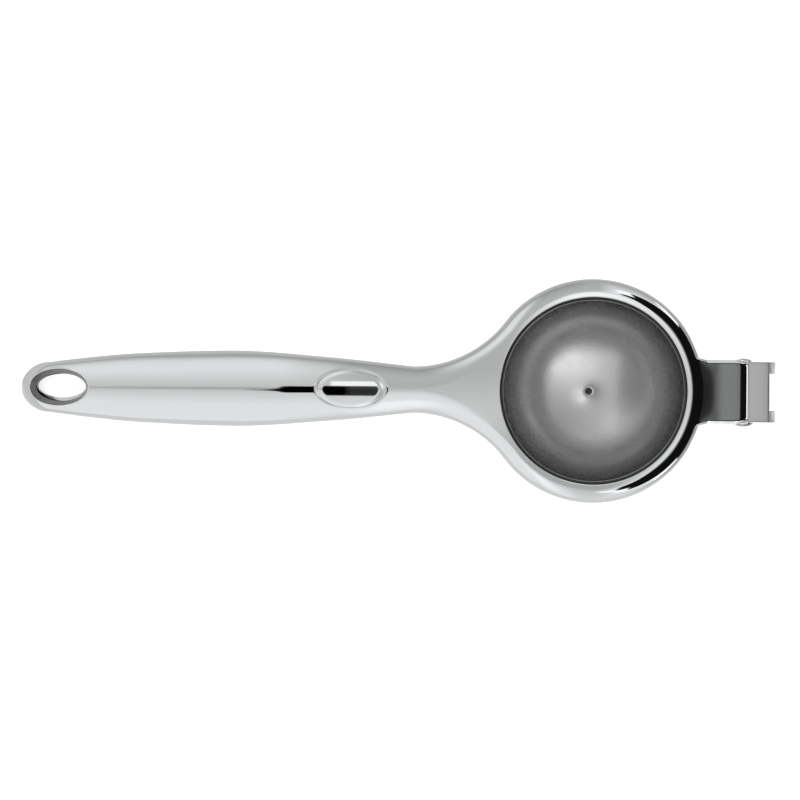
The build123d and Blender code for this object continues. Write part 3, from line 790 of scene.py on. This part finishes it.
class SQUEEZER_OT_strainer_cup(bpy.types.Operator):
    """Strainer cup, which keeps its drilled solid and takes the spun finish"""
    bl_idname = "squeezer.strainer_cup"
    bl_label = "Strainer cup"

    def execute(self, context):
        node = frame["nodes"]["strainer_cup"]
        node.data.materials.clear()
        node.data.materials.append(finish("spun_steel"))
        return {"FINISHED"}


class SQUEEZER_OT_badge(bpy.types.Operator):
    """Plain domed oval inlay on the upper handle"""
    bl_idname = "squeezer.badge"
    bl_label = "Badge"

    def execute(self, context):
        s = context.scene.squeezer_sizes
        arm = Arm(s, 1, 0.0)
        turn = np.linspace(0, 2 * math.pi, 161)
        share = towards_edge(36)[:, None]
        long, wide, edge = s.badge_long - BADGE_MOAT, s.badge_wide - BADGE_MOAT, 1.0 * MM
        proud, roll_drop, foot = 0.12 * MM, 0.4 * MM, 0.5 * MM
        x = -arm.badge_at + long * share * np.cos(turn)
        y = wide * share * np.sin(turn)
        crest = arm.skin(x, 0 * y)
        # it bends along the handle with the crest, across it as a circle of its own, and its rim
        # rolls down into the groove
        across = y ** 2 / (2 * BADGE_CROWN)
        roll = np.clip((1 - share) * wide / edge, 0, 1)
        z = crest + proud - across - roll_drop * (1 - np.sin(roll * math.pi / 2))
        top = np.stack([x, y, z], -1)
        base = top[[-1, 0]].copy()
        base[..., 2] = np.min(z[-1]) - foot
        grids = [top, np.stack([top[-1], base[0]]), base]
        make_piece("oval_inlay", grids, finish("bright_chrome"), "upper_half",
                   ["handle_badge"])
        return {"FINISHED"}


def dome_profile(radius, base, height, steps=14):
    """Profile of a flattened dome: an ellipse cut off just before it stands upright."""
    share = np.linspace(0, 1, steps)
    return list(zip(radius * share, base + height * np.sqrt(1 - 0.94 * share ** 2)))


def about_pin(sizes, profile):
    """Surface of revolution of a profile in millimetres, laid along the hinge pin."""
    grid, (pin_x, pin_z) = turned(profile, 64) * MM, pin_place(sizes)
    return np.stack([grid[..., 0] + pin_x, grid[..., 2], pin_z - grid[..., 1]], -1)


class SQUEEZER_OT_rivet(bpy.types.Operator):
    """Hinge rivet with its domed head, its peened tail and the washer under it"""
    bl_idname = "squeezer.rivet"
    bl_label = "Rivet"

    def execute(self, context):
        s = context.scene.squeezer_sizes
        shank, head, head_height, tail, tail_height, side, washer = 2.0, 2.6, 1.2, 2.3, 0.75, 9.5, 0.65
        under = -side - washer
        profile = dome_profile(head, side, head_height)
        profile += [(head, side), (shank, side), (shank, under), (tail, under)]
        profile += [(r, 2 * under - h) for r, h in dome_profile(tail, under, tail_height)][::-1]
        make_piece("hinge_rivet", [about_pin(s, profile)], finish("headed_steel"), "lower_half",
                   ["hinge_pin"])
        bore, rim, bevel = shank + 0.02, 2.95, 0.1
        ring = [(bore, -side), (rim - bevel, -side), (rim, -side - bevel), (rim, under + bevel),
                (rim - bevel, under), (bore, under), (bore, -side)]
        make_piece("rivet_washer", [about_pin(s, ring)], finish("headed_steel"), "lower_half",
                   ["pin_washer"])
        return {"FINISHED"}


# ---------------------------------------------------------------- stage
# Here places are in millimetres, angles in degrees and levels of light shares of white. A soft step
# is written as its rise, its start and its width.
TENT_RADIUS, TENT_BACK, TENT_FRONT = 150.0, -600.0, 500.0

# Four gradients over the length of the tool: pairs of an angle, from the +Y edge of the floor (0)
# over the roof (90) to the -Y edge (180), and a level.
OVER_HANDLE = ((0, 0.40), (30, 0.88), (50, 0.92), (76, 0.77), (88, 0.68), (98, 0.78), (122, 0.93),
               (180, 0.95))
OVER_NECK = ((0, 0.36), (30, 0.48), (60, 0.56), (86, 0.54), (96, 0.82), (110, 0.92), (138, 0.98),
             (180, 0.75))
OVER_RING = ((0, 0.50), (48, 0.55), (62, 0.78), (77, 1.15), (90, 0.66), (101, 0.48), (134, 0.70),
             (180, 0.84))
OVER_FRONT = ((0, 0.50), (55, 0.90), (80, 0.92), (90, 0.72), (98, 0.86), (130, 0.88), (180, 0.85))
# where the second and the fourth take over, as start and width along X, and the third, which
# starts further back on the -Y side
TO_NECK, TO_RING_WIDTH, TO_FRONT = (-108, 44), 30, (10, 20)
RING_START_BACK = (27, ((28, 85, 20),))
# a glow low on the -Y side of the neck: its place and half length, the start and width of its
# rise with the angle from the roof, and its level
GLOW_AT, GLOW_HALF, GLOW_FROM, GLOW_LEVEL = -44, 24, (26, 14), 0.15

# The dark slot in the roof: half its width along X, its middle across, its soft edge, and how dark
# it is along X.
SLOT = ((-142, 0.0), (-120, 1.6), (-109, 3.2), (-103, 8.6), (-68, 8.6), (-66, 6.0), (-64.5, 0.0))
SLOT_MIDDLE, SLOT_SOFT = -2.8, 1.4
SLOT_BACK, SLOT_FRONT = (0.6, ((0.4, -122, 14),)), (1.0, ((-0.045, -84, 4),))
# the thin seam that runs on from it to the tip
SEAM, SEAM_HALF, SEAM_SOFT = (0.16, ((0.12, -300, 90), (-0.28, -125, 30))), 2.5, 1.5
# the bright strip over the badge: its ends along X, on the -Y side a nearer one, its edge and level
STRIP_BACK, STRIP_BACK_MINUS_Y, STRIP_FRONT, STRIP_EDGE, STRIP_LEVEL = -91.5, -70.0, -64.0, 14.0, 1.15
STRIP_SOFT = 2.0

# The border of the open end by the angle from the roof, on each side, with a white band along it:
# where the band starts with that angle, its width and its level.
BORDER_PLUS_Y = (47, ((-9, 8, 8), (-8, 26, 8), (20, 37.5, 5), (150, 52, 20)))
BORDER_MINUS_Y = (47, ((-9, 8, 8), (-8, 26, 8), (20, 44.5, 5), (150, 56, 20)))
BORDER_SOFT, BAND_FROM, BAND_WIDTH, BAND_LEVEL = 4.0, (34, 10), (24, ((70, 58, 20),)), 1.25
BAND_SOFT = 10.0
# the dim light past it along X, its reach from the roof with a soft edge, and the least light
PAST_HINGE = ((47, 0.26), (71.5, 0.25), (73, 0.22), (75, 0.165), (78, 0.1), (81, 0.036), (86, 0.022),
              (96, 0.014), (108, 0.0))
DIM_REACH, DIM_SOFT, LEAST_LIGHT = (23, ((-10, 76, 6),)), 4.0, 0.006

# The floor cards: levels of the +Y side and the -Y side, then level, start and width of the change
# past the hinge and behind the tip, and level, start, half width and edge of a path past the hinge.
CARD_PLUS_Y, CARD_MINUS_Y = (0.62, ((-0.15, 40, 60),)), 0.76
CARD_FRONT, CARD_BACK, CARD_PATH = (0.42, 50, 20), (0.66, 186, 10), (0.95, 60, 16, 6)
CARD_EDGE, CARD_HALF, CARD_FRONT_FROM, CARD_BACK_TO = 30.0, 30.0, 64.0, -180.6
# The tent's ends: levels, heights of the front's rows as shares, and half its dark middle's width.
BACK_LEVEL, FRONT_LEVEL, END_SHARES, END_DARK_HALF = 0.8, 1.2, (1.0, 0.42, 0.4, 0.0), 70.0

# The lamp over the hinge's ground and bare steel faces: place, diameter and level.
HINGE_LAMP_AT, HINGE_LAMP_SIZE, HINGE_LAMP_LEVEL = (50, 0, 140), 240, 0.30
HINGE_PIECES = ("hinge_cap", "hinge_cheeks", "hinge_rivet", "rivet_washer")

# The soft box over the dish: radius of its dome and reach in the dish. Then, as places in the dish
# where they are mirrored, its four edges with their softness, the level of the ground and of the
# box on it, the least light, and the soft spots in it: place, half sizes and level.
DOME_RADIUS, DOME_REACH = 100.0, 18.4
BOX_LEFT, BOX_RIGHT, BOX_LOW, BOX_HIGH, BOX_SOFT = -14.0, 8.2, -17.2, 12.8, 3.0
BOX_GROUND, BOX_LEVEL, BOX_LEAST = 0.43, 0.45, 0.02
BOX_SPOTS = (((-8.0, 8.8), (11.0, 5.8), 0.95), ((9.6, -11.0), (5.6, 5.6), 0.5),
             ((-9.0, -9.0), (6.0, 6.0), -0.21), ((-3.6, -1.7), (1.6, 1.6), 2.4),
             ((0.2, 0.0), (2.0, 2.0), -1.5))

# The camera's and the overhead lamp's places in metres, the camera's turn about the upright axis,
# and the lamp's side and power.
CAMERA_AT, CAMERA_TURN, CAMERA_LENS = (-0.05977, -0.00327, 1.03), math.radians(0.45), 145.16
OVERHEAD_AT, OVERHEAD_SIZE, OVERHEAD_POWER = (-0.06, 0.05, 1.2), 1.0, 14.0


def soft_edge(inside, width):
    """1 well inside an edge and 0 well outside it, by the distance inside, smooth over a width."""
    return smooth(inside / width + 0.5)


def stepped(value, base, steps):
    """A base level plus soft steps, each of a rise, a start and a width."""
    for rise, start, width in steps:
        base = base + rise * smooth((value - start) / width)
    return base


def mix(level, other, share):
    """A share of the way from one level to another."""
    return level + (other - level) * share


def tent_light(x, angle):
    """Light of the tent by the place along X and the angle round it. Four gradients pass smoothly
    into each other along X, with a glow low on the neck's -Y side. A bright strip lies over the
    badge, and a dark slot along the roof with a thin seam on to the tip. Past the hinge the tent is
    open and black, with a dim light near the roof: its border crosses the roof at right angles to
    X and swings away towards both floors, by a table of its own on each side, with a white band
    along it."""
    tilt, across = np.abs(angle - 90), TENT_RADIUS * np.cos(np.radians(angle))
    level = through_points(OVER_HANDLE, angle)
    to_ring = smooth((x + stepped(angle, *RING_START_BACK)) / TO_RING_WIDTH)
    for gradient, share in ((OVER_NECK, smooth((x - TO_NECK[0]) / TO_NECK[1])), (OVER_RING, to_ring),
                            (OVER_FRONT, smooth((x - TO_FRONT[0]) / TO_FRONT[1]))):
        level = mix(level, through_points(gradient, angle), share)
    glow = soft_edge(GLOW_HALF - np.abs(x - GLOW_AT), GLOW_HALF) * (angle > 90)
    level = level + GLOW_LEVEL * glow * smooth((tilt - GLOW_FROM[0]) / GLOW_FROM[1])
    strip = soft_edge(STRIP_EDGE - np.abs(across), STRIP_SOFT) * (x > STRIP_BACK) * (x < STRIP_FRONT)
    level = mix(level, STRIP_LEVEL, strip * np.where(across > 0, 1, x > STRIP_BACK_MINUS_Y))
    wide = through_points(SLOT, x)
    slot = soft_edge(wide - np.abs(across - SLOT_MIDDLE), SLOT_SOFT) * (wide > 0)
    slot = slot * stepped(x, *SLOT_BACK) * stepped(x, *SLOT_FRONT)
    seam = stepped(x, *SEAM) * soft_edge(SEAM_HALF - np.abs(across), SEAM_SOFT)
    level = level * (1 - slot) * (1 - seam)
    border = np.where(angle > 90, stepped(tilt, *BORDER_MINUS_Y), stepped(tilt, *BORDER_PLUS_Y))
    band = smooth((x - border + stepped(tilt, *BAND_WIDTH)) / BAND_SOFT)
    band = band * soft_edge(border - x, BORDER_SOFT) * smooth((tilt - BAND_FROM[0]) / BAND_FROM[1])
    level = mix(level, BAND_LEVEL, band)
    dim = through_points(PAST_HINGE, x) * smooth((stepped(x, *DIM_REACH) - tilt) / DIM_SOFT)
    return mix(level, dim + LEAST_LIGHT, soft_edge(x - border, BORDER_SOFT))


def floor_light(x, y):
    """Light of the floor in the tent: grey on the +Y side, paler on the -Y side and at the back,
    darker past the hinge but white straight behind it."""
    level = np.where(y > 0, stepped(y, *CARD_PLUS_Y), CARD_MINUS_Y)
    front, front_start, front_width = CARD_FRONT
    back, back_start, back_width = CARD_BACK
    white, path_start, path_half, path_width = CARD_PATH
    level = mix(level, front, smooth((x - front_start) / front_width))
    level = mix(level, back, smooth((-back_start - x) / back_width))
    return mix(level, white, (x > path_start) * smooth((path_half - np.abs(y)) / path_width))


def lit_sheet(name, points, level, material):
    """Makes a sheet that is seen only in reflections and whose light is kept in its mesh."""
    mesh = bpy.data.meshes.new(name)
    rows, cols = points.shape[:2]
    i, j = np.arange(rows - 1)[:, None], np.arange(cols - 1)[None, :]
    first = i * cols + j
    faces = np.stack([first, first + cols, first + cols + 1, first + 1], -1).reshape(-1, 4)
    mesh.from_pydata(points.reshape(-1, 3) * MM, [], faces)
    light = mesh.attributes.new("light", "FLOAT", "POINT")
    light.data.foreach_set("value", np.broadcast_to(level, (rows, cols)).astype(np.float32).ravel())
    mesh.materials.append(material)
    sheet = bpy.data.objects.new(name, mesh)
    bpy.context.scene.collection.objects.link(sheet)
    sheet.visible_camera = sheet.visible_diffuse = sheet.visible_shadow = False
    return sheet


def dish_light(u, v):
    """Light of the soft box by the place in the dish that mirrors it: an even box with soft edges
    on a dim ground, and soft spots in it, each a bell curve."""
    box = soft_edge(BOX_RIGHT - u, BOX_SOFT) * soft_edge(u - BOX_LEFT, BOX_SOFT)
    box = box * soft_edge(BOX_HIGH - v, BOX_SOFT) * soft_edge(v - BOX_LOW, BOX_SOFT)
    level = BOX_GROUND + BOX_LEVEL * box
    for place, half, height in BOX_SPOTS:
        level = level + height * np.exp(-((u - place[0]) / half[0]) ** 2 - ((v - place[1]) / half[1]) ** 2)
    return np.maximum(level, BOX_LEAST)


def dish_dome(sizes):
    """Points of the soft box and their light: from a grid of places in the dish, seen straight
    from above, the mirrored rays run on to a sphere about the middle of the dish's rim."""
    turn = np.linspace(0, 2 * math.pi, 121)
    r = np.linspace(0, DOME_REACH, 70)[:, None]
    depth, fall = sizes.dish_depth / MM, np.sqrt(1 - (r / DISH_RIM) ** 2)
    bend = 2 * np.arctan(depth * r / (DISH_RIM ** 2 * fall))
    u, v = r * np.cos(turn), r * np.sin(turn)
    start = np.stack([u, v, -depth * fall + 0 * u], -1)
    way = np.stack([-np.sin(bend) * np.cos(turn), -np.sin(bend) * np.sin(turn), np.cos(bend) + 0 * u], -1)
    along = (start * way).sum(-1, keepdims=True)
    room = DOME_RADIUS ** 2 - (start ** 2).sum(-1, keepdims=True)
    sphere = start + way * (np.sqrt(along ** 2 + room) - along)
    return sphere + np.array([0, 0, DISH_RIM_Z]), dish_light(u, v)


def linked_to(name, scene, pieces, without=False):
    """A collection for light linking: a lamp lights only these pieces, or all others."""
    group = bpy.data.collections.new(name)
    for piece in scene.objects:
        if piece.name in pieces:
            group.objects.link(piece)
    for entry in group.collection_objects:
        entry.light_linking.link_state = "EXCLUDE" if without else "INCLUDE"
    return group


def seen_by_eye_or_mirror(tree):
    """1 for rays from the camera, from gloss and through glass, and 0 for the rest."""
    ray = add_node(tree, "ShaderNodeLightPath").outputs
    either = add_node(tree, "ShaderNodeMath", None, {0: ray["Is Camera Ray"], 1: ray["Is Glossy Ray"]},
                      operation="MAXIMUM")
    return add_node(tree, "ShaderNodeMath", None, {0: either.outputs[0], 1: ray["Is Transmission Ray"]},
                    operation="MAXIMUM").outputs[0]


class SQUEEZER_OT_stage(bpy.types.Operator):
    """White floor and surround, light tent, lamp and camera"""
    bl_idname = "squeezer.stage"
    bl_label = "Stage"

    def execute(self, context):
        context.scene.view_settings.view_transform = "Standard"
        self.white_surround(context.scene)
        self.white_floor(context.scene)
        self.light_tent(context.scene)
        self.soft_box(context.scene)
        self.hinge_lamp(context.scene)
        self.lamp_and_camera(context.scene)
        return {"FINISHED"}

    def white_surround(self, scene):
        """A white world, a little dimmer as a light than as a background."""
        scene.world = bpy.data.worlds.new("white_surround")
        scene.world.use_nodes = True
        tree = scene.world.node_tree
        tree.nodes.clear()
        level = add_node(tree, "ShaderNodeMapRange", {"To Min": 0.75, "To Max": 1.0},
                         {"Value": seen_by_eye_or_mirror(tree)})
        back = add_node(tree, "ShaderNodeBackground", None, {"Strength": level.outputs[0]})
        add_node(tree, "ShaderNodeOutputWorld", links={"Surface": back.outputs[0]})

    def white_floor(self, scene):
        """A white card that keeps the shadow and looks white to the eye and in mirrors."""
        material, tree = new_material("white_card")
        glow = add_node(tree, "ShaderNodeEmission", {"Strength": 0.45})
        card = add_node(tree, "ShaderNodeBsdfDiffuse", {"Color": (0.8, 0.8, 0.8, 1)})
        both = add_node(tree, "ShaderNodeAddShader", None, {0: card.outputs[0], 1: glow.outputs[0]})
        mixed = add_node(tree, "ShaderNodeMixShader", None,
                         {0: seen_by_eye_or_mirror(tree), 1: card.outputs[0], 2: both.outputs[0]})
        add_node(tree, "ShaderNodeOutputMaterial", links={"Surface": mixed.outputs[0]})
        mesh = bpy.data.meshes.new("floor")
        mesh.from_pydata([(-4, -4, 0), (4, -4, 0), (4, 4, 0), (-4, 4, 0)], [], [(0, 1, 2, 3)])
        mesh.materials.append(material)
        floor = bpy.data.objects.new("floor", mesh)
        scene.collection.objects.link(floor)

    def lit_cloth(self, name, clear=False):
        """Cloth that gives the light kept in its mesh and, where it is clear, lets rays through."""
        material, tree = new_material(name)
        light = add_node(tree, "ShaderNodeAttribute", attribute_name="light", attribute_type="GEOMETRY")
        cloth = add_node(tree, "ShaderNodeEmission", None, {"Strength": light.outputs["Fac"]})
        if clear:
            through = add_node(tree, "ShaderNodeBsdfTransparent")
            both = {0: cloth.outputs[0], 1: through.outputs[0]}
            cloth = add_node(tree, "ShaderNodeAddShader", None, both)
        add_node(tree, "ShaderNodeOutputMaterial", links={"Surface": cloth.outputs[0]})
        return material

    def light_tent(self, scene):
        """A half tunnel of lit cloth along X, its two ends and grey cards on the floor inside. The
        dish has a soft box of its own instead."""
        material = self.lit_cloth("tent_cloth")
        x = np.arange(TENT_BACK, TENT_FRONT + 1, 2.0)[:, None]
        edge, roof = np.arange(0.3, 78.0, 1.0), np.arange(78.0, 102.1, 0.4)
        angle = np.concatenate([edge, roof, 180 - edge[::-1]])
        y, z = (TENT_RADIUS * f(np.radians(angle)) + 0 * x for f in (np.cos, np.sin))
        lit_sheet("tent_roof", np.stack([x + 0 * y, y, z], -1), tent_light(x, angle), material)
        shares = np.array(END_SHARES)[:, None]
        end = np.stack([shares * y[0], shares * z[0]], -1)
        front = np.where((shares >= END_SHARES[1]) & (np.abs(y[0]) < END_DARK_HALF), 0.0, FRONT_LEVEL)
        for name, at, level in (("tent_back", TENT_BACK, BACK_LEVEL), ("tent_front", TENT_FRONT, front)):
            points = np.concatenate([np.full(end.shape[:2] + (1,), at), end], -1)
            lit_sheet(name, points, level, material)
        away, side = np.arange(CARD_EDGE, TENT_RADIUS + 1, 5.0), np.arange(TENT_BACK, TENT_FRONT + 1, 5.0)
        middle = np.linspace(-CARD_HALF, CARD_HALF, 25)
        behind = np.concatenate([side[side < CARD_BACK_TO], [CARD_BACK_TO]])
        for name, x, y in (("card_left", side, away), ("card_right", side, -away),
                           ("card_front", side[side > CARD_FRONT_FROM], middle),
                           ("card_back", behind, middle)):
            x, y = np.meshgrid(x, y, indexing="ij")
            lit_sheet(name, np.stack([x, y, np.ones_like(x)], -1), floor_light(x, y), material)
        others = linked_to("all_but_the_dish", scene, ("press_dish_spun",), without=True)
        for sheet in scene.objects:
            if sheet.name.startswith(("tent_", "card_")):
                sheet.light_linking.receiver_collection = others

    def soft_box(self, scene):
        """A dome of light cloth that only the dish reflects and that rays pass through."""
        material = self.lit_cloth("soft_box_cloth", clear=True)
        box = lit_sheet("soft_box", *dish_dome(scene.squeezer_sizes), material)
        box.light_linking.receiver_collection = linked_to("dish_alone", scene, ("press_dish_spun",))

    def hinge_lamp(self, scene):
        """A soft round lamp over the hinge that lights its ground and bare steel faces alone."""
        lamp = bpy.data.lights.new("hinge_lamp", "AREA")
        lamp.shape, lamp.size = "DISK", HINGE_LAMP_SIZE * MM
        lamp.energy = HINGE_LAMP_LEVEL * math.pi * math.pi * (HINGE_LAMP_SIZE * MM / 2) ** 2
        lamp_object = bpy.data.objects.new("hinge_lamp", lamp)
        lamp_object.location = np.array(HINGE_LAMP_AT) * MM
        lamp_object.light_linking.receiver_collection = linked_to("hinge_faces", scene, HINGE_PIECES)
        scene.collection.objects.link(lamp_object)

    def lamp_and_camera(self, scene):
        """A large soft lamp overhead, which mirrors don't show, and the camera above the tool."""
        lamp = bpy.data.lights.new("overhead", "AREA")
        lamp.size, lamp.energy = OVERHEAD_SIZE, OVERHEAD_POWER
        lamp_object = bpy.data.objects.new("overhead", lamp)
        lamp_object.location = OVERHEAD_AT
        lamp_object.visible_glossy = False
        scene.collection.objects.link(lamp_object)
        camera = bpy.data.cameras.new("camera")
        camera.lens, camera.sensor_width = CAMERA_LENS, 36.0
        camera.clip_start, camera.clip_end = 0.05, 20.0
        camera_object = bpy.data.objects.new("camera", camera)
        camera_object.location = CAMERA_AT
        camera_object.rotation_euler = (0, 0, CAMERA_TURN)
        scene.collection.objects.link(camera_object)
        scene.camera = camera_object


class SQUEEZER_PT_build(bpy.types.Panel):
    """Lists the squeezer's operators and sizes in the sidebar"""
    bl_label = "Lemon squeezer"
    bl_space_type = "VIEW_3D"
    bl_region_type = "UI"
    bl_category = "Squeezer"

    def draw(self, context):
        for operator in OPERATORS:
            self.layout.operator(operator.bl_idname)
        for group in (context.scene.squeezer_sizes, context.scene.squeezer_finish):
            for key in group.__annotations__:
                self.layout.prop(group, key)


OPERATORS = (SQUEEZER_OT_upper_casting, SQUEEZER_OT_lower_casting, SQUEEZER_OT_hinge_fork,
             SQUEEZER_OT_knuckle, SQUEEZER_OT_press_dish, SQUEEZER_OT_strainer_cup, SQUEEZER_OT_badge,
             SQUEEZER_OT_rivet, SQUEEZER_OT_stage)
CLASSES = (SqueezerSizes, SqueezerFinish, *OPERATORS, SQUEEZER_PT_build)


def register():
    for kind in CLASSES:
        bpy.utils.register_class(kind)
    bpy.types.Scene.squeezer_sizes = PointerProperty(type=SqueezerSizes)
    bpy.types.Scene.squeezer_finish = PointerProperty(type=SqueezerFinish)


def unregister():
    del bpy.types.Scene.squeezer_sizes, bpy.types.Scene.squeezer_finish
    for kind in reversed(CLASSES):
        bpy.utils.unregister_class(kind)


def main():
    """Registers the add-on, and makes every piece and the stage."""
    register()
    for operator in OPERATORS:
        group, name = operator.bl_idname.split(".")
        getattr(getattr(bpy.ops, group), name)()


if __name__ == "__main__":
    main()
